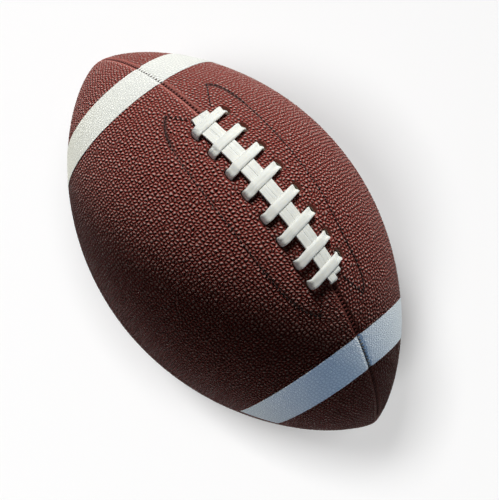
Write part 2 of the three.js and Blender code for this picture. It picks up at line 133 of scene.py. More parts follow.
def named(name):
    piece = bpy.context.active_object
    piece.name = name
    piece.data.name = name
    return piece


def newGrid(name, along, across):
    bpy.ops.object.select_all(action="DESELECT")
    bpy.ops.mesh.primitive_grid_add(x_subdivisions=along, y_subdivisions=across, size=1)
    return named(name)


def newMesh(name, points, faces, edges=()):
    mesh = bpy.data.meshes.new(name)
    mesh.from_pydata([tuple(p) for p in points], edges, faces)
    piece = bpy.data.objects.new(name, mesh)
    bpy.context.scene.collection.objects.link(piece)
    return piece


def readPoints(piece):
    points = np.empty(len(piece.data.vertices) * 3)
    piece.data.vertices.foreach_get("co", points)
    return points.reshape(-1, 3)


def writePoints(piece, points):
    piece.data.vertices.foreach_set("co", points.ravel())
    piece.data.update()


# values at the points of a piece that its material or its grain reads
def keepValues(piece, name, values):
    vector = values.ndim == 2
    layer = piece.data.attributes.new(name, "FLOAT_VECTOR" if vector else "FLOAT", "POINT")
    layer.data.foreach_set("vector" if vector else "value", values.astype(np.float32).ravel())


def applyModifier(piece, kind, **settings):
    pickOnly(piece)
    modifier = piece.modifiers.new(kind.lower(), kind)
    for name, value in settings.items():
        setattr(modifier, name, value)
    bpy.ops.object.modifier_apply(modifier=modifier.name)


def faceOutward(piece):
    pickOnly(piece)
    bpy.ops.object.mode_set(mode="EDIT")
    bpy.ops.mesh.select_all(action="SELECT")
    bpy.ops.mesh.normals_make_consistent(inside=False)
    bpy.ops.object.mode_set(mode="OBJECT")


def mergePoints(piece, reach=0.00002):
    pickOnly(piece)
    bpy.ops.object.mode_set(mode="EDIT")
    bpy.ops.mesh.select_all(action="SELECT")
    bpy.ops.mesh.remove_doubles(threshold=reach)
    bpy.ops.object.mode_set(mode="OBJECT")
    faceOutward(piece)


def cutHoles(piece, cutters):
    for cutter in cutters:
        applyModifier(piece, "BOOLEAN", operation="DIFFERENCE", object=cutter, solver="MANIFOLD")


def removePieces(pieces):
    for piece in pieces:
        bpy.data.meshes.remove(piece.data)


def handIn(piece, finish, slotName, *nodes, smoothAngle=40):
    pickOnly(piece)
    bpy.ops.object.shade_smooth_by_angle(angle=math.radians(smoothAngle))
    piece.data.materials.clear()
    piece.data.materials.append(finish)
    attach(piece, "root")
    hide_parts(*nodes)


# node maths: a wire is one output of a node

class Wire:
    def __init__(self, tree, socket=None):
        self.tree = tree
        self.socket = socket

    # any node: its type, its settings, what its sockets hold or are fed by, and the output that is used
    def node(self, kind, settings={}, sockets={}, output=0):
        made = self.tree.nodes.new(kind)
        for name, value in settings.items():
            setattr(made, name, value)
        for name, value in sockets.items():
            if isinstance(value, Wire):
                self.tree.links.new(value.socket, made.inputs[name])
            else:
                made.inputs[name].default_value = value
        return Wire(self.tree, made.outputs[output])

    def math(self, operation, *values):
        return self.node("ShaderNodeMath", {"operation": operation}, dict(enumerate(values)))

    def __add__(self, other):
        return self.math("ADD", self, other)

    def __sub__(self, other):
        return self.math("SUBTRACT", self, other)

    def __rsub__(self, other):
        return self.math("SUBTRACT", other, self)

    def __mul__(self, other):
        return self.math("MULTIPLY", self, other)

    __radd__ = __add__
    __rmul__ = __mul__

    # 0 below one value, 1 above the other
    def between(self, low, high):
        return self.node("ShaderNodeMapRange", {"interpolation_type": "SMOOTHSTEP"},
                         {"Value": self, "From Min": low, "From Max": high})

    def colour(self, first, second):
        return self.node("ShaderNodeMix", {"data_type": "RGBA"}, {0: self, 6: first, 7: second}, 2)

    def noise(self, where, size, detail):
        return self.node("ShaderNodeTexNoise", {}, {"Vector": where, "Scale": 1 / size, "Detail": detail})

    def bump(self, depth):
        return self.node("ShaderNodeBump", {}, {"Height": self, "Distance": depth, "Strength": 1.0})

    def feed(self, shader, socket):
        self.tree.links.new(self.socket, shader.inputs[socket])


def newFinish(name, looks):
    finish = bpy.data.materials.new(name)
    finish.use_nodes = True
    shader = finish.node_tree.nodes["Principled BSDF"]
    for socket, value in looks.items():
        shader.inputs[socket].default_value = value
    return finish, Wire(finish.node_tree), shader


def objectPlace(wire):
    return wire.node("ShaderNodeTexCoord", output="Object")


# what keepValues left at the points of a piece
def kept(wire, name, output="Fac"):
    return wire.node("ShaderNodeAttribute", {"attribute_name": name}, output=output)


# where a point lies on the flat hide, cloth or strip
def flatPlace(wire):
    return kept(wire, "flatPlace", "Vector")


# grain pressed into the leather: close pebbles with narrow valleys between them

grain = {
    "pitch": 0.00208,
    "scatter": 0.66,  # 0 lays the pebbles on a square net
    "foot": 0.0,  # shares of the pitch between which a pebble rises from its edge
    "top": 0.55,
    "wander": 0.0005,
    "wanderSize": 0.004,
    "leatherDepth": 0.00026,
    "printDepth": 0.00014,
}


def pebbleHeight(wire, flat):
    drift = wire.node("ShaderNodeTexNoise", {"noise_dimensions": "2D"},
                      {"Vector": flat, "Scale": 1 / grain["wanderSize"], "Detail": 1.0}, "Color")
    push = wire.node("ShaderNodeVectorMath", {"operation": "MULTIPLY_ADD"},
                     {0: drift, 1: (grain["wander"],) * 3, 2: flat})
    edge = wire.node("ShaderNodeTexVoronoi", {"voronoi_dimensions": "2D", "feature": "DISTANCE_TO_EDGE"},
                     {"Vector": push, "Scale": 1 / grain["pitch"], "Randomness": grain["scatter"]},
                     "Distance")
    return edge.between(grain["foot"], grain["top"])


def makeGrainPress():
    tree = bpy.data.node_groups.new("grainPress", "GeometryNodeTree")
    tree.interface.new_socket("Geometry", in_out="INPUT", socket_type="NodeSocketGeometry")
    tree.interface.new_socket("Depth", in_out="INPUT", socket_type="NodeSocketFloat")
    tree.interface.new_socket("Geometry", in_out="OUTPUT", socket_type="NodeSocketGeometry")
    wire = Wire(tree)
    sheet = wire.node("NodeGroupInput", output="Geometry")
    depth = Wire(tree, sheet.socket.node.outputs["Depth"])
    attribute = "GeometryNodeInputNamedAttribute"
    flat = wire.node(attribute, {"data_type": "FLOAT_VECTOR"}, {"Name": "flatPlace"})
    share = wire.node(attribute, {"data_type": "FLOAT"}, {"Name": "grainShare"})
    height = (pebbleHeight(wire, flat) - 1) * depth * share
    normal = wire.node("GeometryNodeInputNormal")
    push = wire.node("ShaderNodeVectorMath", {"operation": "SCALE"}, {0: normal, "Scale": height})
    moved = wire.node("GeometryNodeSetPosition", {}, {"Geometry": sheet, "Offset": push})
    result = tree.nodes.new("NodeGroupOutput")
    tree.links.new(moved.socket, result.inputs["Geometry"])
    return tree


grainPress = makeGrainPress()


def pressGrain(piece, depth):
    pickOnly(piece)
    modifier = piece.modifiers.new("grain", "NODES")
    modifier.node_group = grainPress
    modifier["Socket_1"] = depth
    bpy.ops.object.modifier_apply(modifier=modifier.name)


# finishes

# pebble valleys are coloured darker and crowns paler: partly the leather's own tone, partly painted shade
# in the valleys and painted highlight on the crowns
leatherLook = {
    "shadedValley": (0.17, 0.014, 0.01, 1),
    "flank": (0.35, 0.152, 0.124, 1),
    "crown": (0.5, 0.345, 0.31, 1),
    "smooth": (0.32, 0.1, 0.08, 1),
    "furrowShade": (0.02, 0.008, 0.007, 1),
    "shine": {"Specular IOR Level": 0.13, "Specular Tint": (1.0, 0.75, 0.68, 1)},
    "flankTo": 0.45,  # shares of a pebble's height
    "crownFrom": 0.3,
    "crownTo": 0.88,
    "patchSize": 0.03,  # the pale crowns, partly painted highlight, vary in patches
    "patchShare": 0.3,
    "wrinkleSize": 0.0006,
    "wrinkleDepth": 0.12,
    "bump": 0.001,
}


def makeLeather():
    look = leatherLook
    finish, wire, shader = newFinish("pebbledLeather", look["shine"])
    flat = flatPlace(wire)
    height = pebbleHeight(wire, flat)
    patches = wire.noise(flat, look["patchSize"], 4.0).between(0.3, 0.7)
    wrinkles = wire.noise(flat, look["wrinkleSize"], 3.0)
    share = kept(wire, "grainShare")
    # darker valleys are partly painted shade, paler crowns partly painted highlight
    low = height.between(0.0, look["flankTo"]).colour(look["shadedValley"], look["flank"])
    crownPatches = 1 - look["patchShare"] + look["patchShare"] * patches
    crownToneAndHighlight = height.between(look["crownFrom"], look["crownTo"]) * crownPatches
    grained = crownToneAndHighlight.colour(low, look["crown"])
    clean = share.between(0.05, 0.75).colour(look["smooth"], grained)
    # the stitch furrows are painted dark here: painted shade
    kept(wire, "furrowShade").colour(clean, look["furrowShade"]).feed(shader, "Base Color")
    (0.6 - 0.16 * height + 0.1 * wrinkles).feed(shader, "Roughness")
    relief = height * share + look["wrinkleDepth"] * wrinkles
    relief.bump(look["bump"]).feed(shader, "Normal")
    return finish


printLook = {
    "ink": (0.87, 0.9, 0.86, 1),
    "dust": (0.67, 0.7, 0.68, 1),
    "cleanFrom": 0.5,  # share of a pebble's height
    "speckSize": 0.0009,
    "bump": 0.0004,
}


def makePrint():
    finish, wire, shader = newFinish("whitePrint", {"Specular IOR Level": 0.4})
    flat = flatPlace(wire)
    height = pebbleHeight(wire, flat)
    specks = wire.noise(flat, printLook["speckSize"], 3.0)
    clean = height.between(0.0, printLook["cleanFrom"])
    clean.colour(printLook["dust"], printLook["ink"]).feed(shader, "Base Color")
    (0.5 + 0.15 * specks).feed(shader, "Roughness")
    (height + 0.1 * specks).bump(printLook["bump"]).feed(shader, "Normal")
    return finish


laceLook = {
    "clean": (0.86, 0.85, 0.785, 1),
    "soiled": (0.785, 0.78, 0.725, 1),
    "body": {
        "Specular IOR Level": 0.3,
        "Subsurface Weight": 0.5,
        "Subsurface Radius": (1.0, 0.95, 0.85),
        "Subsurface Scale": 0.0008,
    },
    "soilSize": 0.006,
    "streakSize": 0.0009,
    "streakDraw": (0.06, 1.0, 1.0),  # streaks run along the strip
    "bump": 0.0003,
}


def makeLaceVinyl():
    look = laceLook
    finish, wire, shader = newFinish("laceVinyl", look["body"])
    flat = flatPlace(wire)
    soil = wire.noise(flat, look["soilSize"], 4.0).between(0.35, 0.75)
    drawn = wire.node("ShaderNodeVectorMath", {"operation": "MULTIPLY"}, {0: flat, 1: look["streakDraw"]})
    streaks = wire.noise(drawn, look["streakSize"], 3.0)
    soil = soil * streaks.between(0.2, 0.6)
    soil.colour(look["clean"], look["soiled"]).feed(shader, "Base Color")
    (0.42 + 0.14 * streaks).feed(shader, "Roughness")
    streaks.bump(look["bump"]).feed(shader, "Normal")
    return finish


threadLook = {"fibreSize": 0.0003, "bump": 0.00006}


def makeThread(name, dark, light):
    finish, wire, shader = newFinish(name, {"Specular IOR Level": 0.3})
    fibres = wire.noise(objectPlace(wire), threadLook["fibreSize"], 3.0)
    thread = fibres.between(0.3, 0.7).colour(dark, light)
    kept(wire, "ink").colour(thread, printLook["ink"]).feed(shader, "Base Color")
    (0.55 + 0.25 * fibres).feed(shader, "Roughness")
    fibres.bump(threadLook["bump"]).feed(shader, "Normal")
    return finish


clothLook = {"slubSize": 0.003, "bump": 0.0001}


# plain weave: warp and weft pass over each other in turn
def makeCloth(name, dark, light, yarn):
    finish, wire, shader = newFinish(name, {"Specular IOR Level": 0.2})
    flat = flatPlace(wire)
    parts = wire.node("ShaderNodeSeparateXYZ", {}, {0: flat})
    across = Wire(wire.tree, parts.socket.node.outputs["Y"])
    warp = wire.math("SINE", parts * (math.pi / yarn))
    weft = wire.math("SINE", across * (math.pi / yarn))
    weave = 0.5 + 0.5 * warp * weft
    slubs = wire.noise(flat, clothLook["slubSize"], 4.0)
    (0.6 * weave + 0.4 * slubs).colour(dark, light).feed(shader, "Base Color")
    (0.8 + 0.15 * slubs).feed(shader, "Roughness")
    weave.bump(clothLook["bump"]).feed(shader, "Normal")
    return finish


strapLook = {"napSize": 0.0012, "toneSize": 0.02, "bump": 0.0001}


def makeStrap(name, dark, light):
    finish, wire, shader = newFinish(name, {"Specular IOR Level": 0.3})
    flat = flatPlace(wire)
    nap = wire.noise(flat, strapLook["napSize"], 5.0)
    tone = wire.noise(flat, strapLook["toneSize"], 2.0)
    (0.5 * nap + 0.5 * tone).between(0.3, 0.7).colour(dark, light).feed(shader, "Base Color")
    (0.7 + 0.2 * nap).feed(shader, "Roughness")
    nap.bump(strapLook["bump"]).feed(shader, "Normal")
    return finish


rubberLook = {"bloomSize": 0.012, "skinSize": 0.0008, "bump": 0.00005}


def makeRubber(name, dark, light, roughness):
    finish, wire, shader = newFinish(name, {"Specular IOR Level": 0.4})
    bloom = wire.noise(objectPlace(wire), rubberLook["bloomSize"], 4.0).between(0.3, 0.75)
    skin = wire.noise(objectPlace(wire), rubberLook["skinSize"], 2.0)
    bloom.colour(dark, light).feed(shader, "Base Color")
    (roughness + 0.2 * bloom).feed(shader, "Roughness")
    skin.bump(rubberLook["bump"]).feed(shader, "Normal")
    return finish


finishes = {
    "leather": makeLeather(),
    "print": makePrint(),
    "lace": makeLaceVinyl(),
    "seam_thread": makeThread("seamThread", (0.08, 0.014, 0.011, 1), (0.2, 0.04, 0.03, 1)),
    "stitch_thread": makeThread("stitchThread", (0.006, 0.005, 0.005, 1), (0.025, 0.02, 0.02, 1)),
    "lining": makeCloth("cottonLining", (0.42, 0.37, 0.29, 1), (0.68, 0.63, 0.53, 1), 0.0006),
    "facing": makeStrap("facingLeather", (0.16, 0.1, 0.06, 1), (0.3, 0.2, 0.13, 1)),
    "tongue": makeCloth("coatedCanvas", (0.012, 0.011, 0.01, 1), (0.035, 0.032, 0.03, 1), 0.0005),
    "bladder": makeRubber("butylRubber", (0.01, 0.01, 0.011, 1), (0.03, 0.03, 0.032, 1), 0.35),
    "valve": makeRubber("valveRubber", (0.006, 0.006, 0.006, 1), (0.02, 0.02, 0.02, 1), 0.45),
}
print("finishes made:", len(finishes))

# lace: one flat strip, two strands along the seam and crossings whipped over them

lace = {
    "width": 0.0057,
    "strandWidth": 0.0048,  # the strands are drawn narrower, more so toward the fore end
    "strandTaper": 0.0003,
    "thickness": 0.0013,
    "gap": 0.00001,
    "cadGap": 0.0005,  # between the hidden lace and the tongue
    "underGap": 0.001,
    "bend": 0.001,
    "endBend": {1: 0.0014, -1: 0.0026},  # where a crossing goes down into its right and left hole
    "arch": 0.0005,  # of a crossing beside the strands
    "dipRun": 0.0015,  # the room that it needs to come down to that
    "crossings": 8,
    "pitch": 0.0141,
    # how far each crossing lies off its even place
    "strays": (0.0008, 0.0005, 0.0005, 0.0, 0.0011, 0.0009, 0.001, -0.0009),
    "lean": 0.0037,
    "holeSpacing": 0.0246,
    "hole": {1: 0.0119, -1: 0.0127},  # from the seam, right and left
    "holeTaper": {1: 0.0009, -1: 0.0014},  # how much nearer the last holes are
    "holeTurn": 14,  # of the right holes, in degrees
    "aftEnd": {1: -0.0555, -1: -0.0553},
    "foreEnd": {1: 0.0534, -1: 0.0560},
    "skew": 0.00275,  # the strands lie across the seam at a slight angle
    "drift": -0.0007,
    "hook": {1: 0.001, -1: 0.0022},  # their fore and aft ends are drawn to the right
    "hookFrom": 0.002,  # from the last crossing inward
    "turn": 0.008,  # hidden turns behind the facing
    "lead": 0.004,
    "tail": 0.022,
    "bendSteps": 7,
    "turnSteps": 13,
    "step": 0.00045,
    "fold": 0.0013,  # depth of the fold along the strip's middle where a right hole draws it in
    "leftFold": 0.5,  # share of it at a left hole
    "foldFrom": 0.25,  # it starts after this share of the way to a hole
    "foldPower": 1.3,  # of its section, higher is rounder
    "foldLevel": 0.45,
    "pinch": 0.08,
    "sides": 28,
    "square": 24,  # of a strand's section, 2 is an ellipse
    "crown": 2.7,  # of the bowed top of a crossing
}
laceHalf = lace["pitch"] * (lace["crossings"] - 1) / 2
hookX = laceHalf - lace["hookFrom"]
laceUnder = facingInset + ball["facing"] + lace["underGap"] + lace["thickness"] / 2
tongueInset = laceUnder + lace["thickness"] / 2 + lace["cadGap"]
dentInset = tongueInset + ball["tongue"] + ball["layerGap"]
strandRise = lace["gap"] + lace["thickness"] / 2
crossingRise = strandRise + lace["thickness"] + lace["gap"]
aftSlotX = min(lace["aftEnd"].values())
foreSlotX = max(lace["foreEnd"].values())
crossingX = [i * lace["pitch"] - laceHalf + stray for i, stray in enumerate(lace["strays"])]


def strandMiddle(x):
    aside = lace["hook"][1] * easeIn(x, hookX, foreSlotX) + lace["hook"][-1] * easeIn(-x, hookX, -aftSlotX)
    return lace["drift"] + lace["skew"] * x / laceHalf + aside


def strandWidth(x):
    return lace["strandWidth"] - lace["strandTaper"] * x / laceHalf


def strandAcross(x, side):
    return side * (strandWidth(x) + lace["gap"]) / 2


def holeAcross(i, side):
    return lace["hole"][side] - lace["holeTaper"][side] * (crossingX[i] / laceHalf) ** 2


# where a crossing's middle is at a distance across the seam
def crossingPlace(i, across):
    return crossingX[i] - lace["lean"] * (across - strandMiddle(crossingX[i])) / lace["holeSpacing"]


def holeX(i, side):
    return crossingPlace(i, side * holeAcross(i, side))


# the route from the fore tail to the aft tail: x, across, inset, turn of the width from +X, width,
# fold and crown
def laceRoute():
    route = []
    spread = ball["radius"] / (ball["radius"] - laceUnder)  # keeps the strands apart below the facing
    bend = lace["bend"]

    def quarterBend(x, across, level, dx, dy, turn, leaving, width, fold, crown, bend=bend):
        for k in range(lace["bendSteps"] + 1):
            share = k / lace["bendSteps"]
            a = (1 - share if leaving else share) * quarter
            out = bend * (1 - math.sin(a))
            rise = bend * (1 - math.cos(a)) * (-1 if level > 0 else 1)
            route.append((x + dx * out, across + dy * out, level + rise, turn, width, fold, crown))

    def strand(fromX, toX, side, turn):
        ahead = math.copysign(1, toX - fromX)
        for x, first in ((fromX, True), (toX, False)):
            offset = strandAcross(x, side)
            if not first:
                for foot in (-ahead * hookX, ahead * hookX):
                    across = strandMiddle(foot) + strandAcross(foot, side)
                    route.append((foot, across, -strandRise, turn, strandWidth(foot), 0, 0))
            above = strandMiddle(x) + offset, -strandRise, ahead if first else -ahead
            below = strandMiddle(x) + offset * spread, laceUnder, -ahead if first else ahead
            for across, level, dx in ((below, above) if first else (above, below)):
                leaving = (level < 0) == first
                quarterBend(x, across, level, dx, 0, turn, leaving, strandWidth(x), 0, 0)

    # a level arc behind the facing, by the angle of its points from +X in degrees
    def arc(x, across, radius, first, last, turnOffset):
        for angle in np.linspace(first, last, lace["turnSteps"]):
            a = math.radians(angle)
            route.append((x + radius * math.cos(a), across + radius * math.sin(a), laceUnder,
                          angle + turnOffset, lace["width"], 0, 0))

    def crossing(i, fromOutside):
        left, leftAcross = holeX(i, -1), -holeAcross(i, -1)
        right, rightAcross = holeX(i, 1), holeAcross(i, 1)
        width, turn, leftFold = lace["width"], lace["holeTurn"], lace["leftFold"]
        middle = strandMiddle(crossingX[i])
        shoulder = strandWidth(crossingX[i]) + lace["gap"] + lace["thickness"] / 4

        # the level beside the strands
        def dip(side):
            room = holeAcross(i, side) - lace["endBend"][side] - side * middle - shoulder
            drop = crossingRise - strandRise - lace["arch"]
            return drop * easeIn(room, 0, lace["dipRun"]) - crossingRise

        quarterBend(left, leftAcross, laceUnder, 0, -1 if fromOutside else 1, 0, False, width, 0, 1)
        quarterBend(left, leftAcross, dip(-1), 0, 1, 0, True, width, leftFold, 1, lace["endBend"][-1])
        for across in (middle - shoulder, middle + shoulder):
            route.append((crossingPlace(i, across), across, -crossingRise, 0, width, 0, 1))
        quarterBend(right, rightAcross, dip(1), 0, -1, turn, False, width, 1, 1, lace["endBend"][1])
        quarterBend(right, rightAcross, laceUnder, 0, -1, turn, True, width, 0, 1)

    foreRight, foreLeft = lace["foreEnd"][1], lace["foreEnd"][-1]
    aftRight, aftLeft = lace["aftEnd"][1], lace["aftEnd"][-1]
    tailAcross = strandMiddle(foreRight) + strandAcross(foreRight, 1) * spread
    route.append((foreRight + lace["tail"], tailAcross, laceUnder, 90, strandWidth(foreRight), 0, 0))
    strand(foreRight, aftRight, 1, 90)
    arc(aftSlotX - lace["turn"] - bend, strandMiddle(aftSlotX), lace["turn"], 90, 270, 0)
    strand(aftLeft, foreLeft, -1, 270)
    last = lace["crossings"] - 1
    top = strandMiddle(foreLeft) + strandAcross(foreLeft, -1) * spread
    bottom = -holeAcross(last, -1) - bend - lace["cadGap"] - lace["lead"]
    radius = (top - bottom) / 2
    arc(foreSlotX + 2 * bend, top - radius, radius, 90, -90, 180)
    arc(holeX(last, -1) + lace["lead"], bottom + lace["lead"], lace["lead"], 270, 180, -180)
    for i in range(last, -1, -1):
        crossing(i, i == last)
    route.append((holeX(0, 1), holeAcross(0, 1) / 2, laceUnder, 0, lace["width"], 0, 0))
    return np.array(route)


def bowed(value, power):
    return np.sign(value) * np.abs(value) ** (2 / power)


# a section of offsets sideways and outward, swept along a path and closed at both ends
def sweep(name, centre, wide, sideways, outwards):
    forward = np.gradient(centre, axis=0)
    forward /= np.linalg.norm(forward, axis=1)[:, None]
    wide = wide - forward * np.sum(wide * forward, axis=1)[:, None]
    wide /= np.linalg.norm(wide, axis=1)[:, None]
    outward = np.cross(wide, forward)
    points = centre[:, None] + wide[:, None] * sideways[..., None] + outward[:, None] * outwards[..., None]
    count, sides = points.shape[:2]

    def point(i, j):
        return i * sides + j % sides

    faces = [(point(i, j), point(i, j + 1), point(i + 1, j + 1), point(i + 1, j))
             for i in range(count - 1) for j in range(sides)]
    faces.append(tuple(range(sides))[::-1])
    faces.append(tuple(point(count - 1, j) for j in range(sides)))
    return newMesh(name, points.reshape(-1, 3), faces)


def makeLace():
    route = laceRoute()
    gone = np.linalg.norm(np.diff(route[:, :3], axis=0), axis=1)
    along = np.concatenate([[0], np.cumsum(gone)])
    keep = np.concatenate([[True], gone > 1e-6])
    at = np.linspace(0, along[-1], int(along[-1] / lace["step"]))
    spaced = (np.interp(at, along[keep], values) for values in route[keep].T)
    x, across, inset, turn, width, fold, crown = spaced
    kernel = np.hanning(5)[1:-1] / np.hanning(5).sum()  # takes the corners off the bends
    inset = np.convolve(np.pad(inset, 1, mode="edge"), kernel, "valid")
    fold = np.maximum(fold - lace["foldFrom"], 0) / (1 - lace["foldFrom"])
    centre = placeAcross(x, across, inset)
    a = np.radians(turn)
    nudge = 1e-5
    wide = placeAcross(x + nudge * np.cos(a), across + nudge * np.sin(a), inset) - centre
    theta = 2 * math.pi * np.arange(lace["sides"]) / lace["sides"]
    upper = np.sin(theta) > 0
    flatWide, flatHigh = (bowed(f(theta), lace["square"]) for f in (np.cos, np.sin))
    bowWide = np.where(upper, bowed(np.cos(theta), lace["crown"]), np.cos(theta))
    bowHigh = np.where(upper, 2 * bowed(np.sin(theta), lace["crown"]) - 1, -1)
    w = flatWide[None, :] + crown[:, None] * (bowWide - flatWide)[None, :]
    t = (flatHigh[None, :] + crown[:, None] * (bowHigh - flatHigh)[None, :]) * lace["thickness"] / 2
    half = width / 2 * (1 - lace["pinch"] * fold)
    lift = t + lace["fold"] * fold[:, None] * (np.abs(w) ** lace["foldPower"] - lace["foldLevel"])
    piece = sweep("lace", centre, wide, half[:, None] * w, lift)
    flat = np.stack([np.tile(at[:, None], lace["sides"]), half[:, None] * w, lift], axis=-1)
    keepValues(piece, "flatPlace", flat.reshape(-1, 3))
    mergePoints(piece)
    handIn(piece, finishes["lace"], "lace", "lace")
    print("lace made, length", round(float(along[-1]), 3), "m")
    return piece


lacing = makeLace()

# stitch line that holds each facing: a leg in to the lacing, round the facing, and out again

stitching = {
    # the ovals that the right and left lines follow: reach past the lacing, half width, where the leg
    # meets it, power of the oval, and how much narrower it gets toward the fore end
    "oval": {
        1: {"overhang": 0.0225, "width": 0.0263, "corner": 0.0176, "outline": 6, "narrowing": 0.2},
        -1: {"overhang": 0.02, "width": 0.0285, "corner": 0.0145, "outline": 3, "narrowing": 0.0},
    },
    "linePoints": 240,
    "legX": 0.0076,
    "legAcross": 0.0075,
    "pitch": 0.0026,
    "length": {1: 0.0024, -1: 0.0019},
    "thread": {1: 0.0007, -1: 0.0006},
    "furrowShade": {1: 0.35, -1: 0.2},  # how dark the furrow under the line is painted: painted shade
    "aftFrom": 0.046,  # past here the thread lies higher, and the painted shade in its furrow is darker
    "aftTo": 0.053,
    "aftRise": 0.00048,
    "aftFurrowShade": 0.95,
    "sink": 0.00025,  # of a stitch's ends
    "seat": 0.4,  # a stitch's middle lies this share of its thread above the furrow's floor
    "furrow": 0.00035,
    "furrowWidth": 0.0011,
    "furrowSmooth": 0.7,  # share of the grain that the thread presses flat
    "nearX": 0.03,  # the furrow is looked for this far past the lacing, and across
    "nearAcross": 0.04,
    "margin": 0.003,  # of the facing outside the line
}


def narrowed(x, narrowing):
    return 1 - narrowing * easeIn(x, 0, laceHalf)


def stitchLine(side):
    oval = stitching["oval"][side]
    start = math.asin((oval["corner"] / oval["width"]) ** (oval["outline"] / 2))
    turn = np.linspace(start, math.pi - start, stitching["linePoints"])
    x = (laceHalf + oval["overhang"]) * bowed(np.cos(turn), oval["outline"])
    across = oval["width"] * bowed(np.sin(turn), oval["outline"]) * narrowed(x, oval["narrowing"])
    leg = laceHalf + stitching["legX"]
    x = np.concatenate([[leg], x, [-leg]])
    across = np.concatenate([[stitching["legAcross"]], across, [stitching["legAcross"]]])
    gone = np.concatenate([[0], np.cumsum(np.hypot(np.diff(x), np.diff(across)))])
    return x, across, gone


# printed bands near the tips, on the laced panels

band = {
    "fromTip": 0.0345,
    "width": 0.0192,
    "slant": {1: 0.0036, -1: 0.005},  # how far the fore and aft bands lean over a quarter turn
    "lift": 0.0001,
    "sink": 0.0003,  # of the leather under the film, starting and full this far inside its edge
    "sinkFrom": 0.0004,
    "sinkTo": 0.0013,
    "ink": 0.85,  # how well the print covers the seam's thread
    "inkEdge": 0.0005,
    "along": 40,
    "across": 220,
}
band["innerX"] = ball["halfLength"] - band["fromTip"] - band["width"]

# panels: each is laid flat, wrapped round a quarter of the ball, and its edges roll down into the seams

panel = {
    "along": 504,
    "across": 190,
    "innerAlong": 24,
    "innerAcross": 10,
    "innerShare": 0.97,
    "edgeRows": 0.25,  # how much closer the points lie at the edges
    "seamGap": 0.0006,
    "rollWidth": 0.0032,
    "rollDepth": 0.0016,
    "rollShare": 0.3,  # most of the half width that a roll takes, toward the tips
    "grainFrom": 0.0003,  # the grain starts this far from a seam
    "grainFade": 0.0036,  # and is full here
    "dimple": 0.0009,  # round a lace hole
    "dimpleFrom": 0.001,
    "dimpleReach": 0.0055,
    "hideStep": 0.37,  # each panel is cut from another part of the hide
    "merge": 0.00009,
}
tipReach = math.sqrt(1 - (panel["seamGap"] * math.sqrt(0.5) / ball["radius"]) ** (1 / ball["power"]))


# angles of a panel's point from shares along and across, with its distance from the nearer seam edge
def panelPlace(s, across, startAngle):
    edge = np.arcsin(np.clip(panel["seamGap"] / 2 / np.maximum(radiusAt(s), 1e-9), 0, math.sqrt(0.5)))
    span = quarter - 2 * edge
    angle = startAngle + quarter / 2 - span * across
    distance = radiusAt(s) * span * (0.5 - np.abs(across))
    return angle, distance, radiusAt(s) * span / 2


def closerRows(across):
    return across + panel["edgeRows"] * np.sin(2 * math.pi * across) / (2 * math.pi)


def rollInset(distance, halfWidth):
    width = np.minimum(panel["rollWidth"], panel["rollShare"] * halfWidth) + 1e-9
    share = np.clip(1 - distance / width, 0, 1)
    return panel["rollDepth"] * width / panel["rollWidth"] * (1 - np.sqrt(1 - share * share))


def flatten(s, angle, startAngle):
    across = radiusAt(s) * (angle - startAngle - quarter / 2)
    offset = startAngle * panel["hideStep"]
    return np.stack([arcOf(s) + offset, across - offset, np.zeros_like(across)], axis=-1)


# 0 beside the lacing, 1 past its aft end
def aftShare(x):
    return easeIn(-x, stitching["aftFrom"], stitching["aftTo"])


# depth of the furrow under the stitch line, found for a few thousand points at a time
def stitchFurrow(x, across, side):
    lineX, lineAcross = (values[::2] for values in stitchLine(side)[:2])
    depth = np.zeros_like(x)
    near = (np.abs(x) < laceHalf + stitching["nearX"]) & (np.abs(across) < stitching["nearAcross"])
    index = np.nonzero(near)[0]
    for block in np.array_split(index, max(1, len(index) // 4000)):
        gap = np.hypot(x[block, None] - lineX, np.abs(across[block, None]) - lineAcross)
        depth[block] = np.exp(-(gap.min(axis=1) / stitching["furrowWidth"]) ** 2)
    return depth * stitching["furrow"]


# depth of the dimples round the lace holes
def holeDimples(x, across):
    depth = np.zeros_like(x)
    for i in range(lace["crossings"]):
        for side in (-1, 1):
            gap = np.hypot(x - holeX(i, side), across - side * holeAcross(i, side))
            depth = np.maximum(depth, 1 - easeIn(gap, panel["dimpleFrom"], panel["dimpleReach"]))
    return depth * panel["dimple"]


# 1 under a printed band, 0 beside it
def bandShare(s, angle):
    lean = np.where(s > 0, band["slant"][1], band["slant"][-1]) * (1 - angle / quarter)
    x = np.abs(s) * ball["halfLength"] - lean
    inside = np.minimum(x - band["innerX"], band["innerX"] + band["width"] - x)
    return easeIn(inside, band["sinkFrom"], band["sinkTo"])


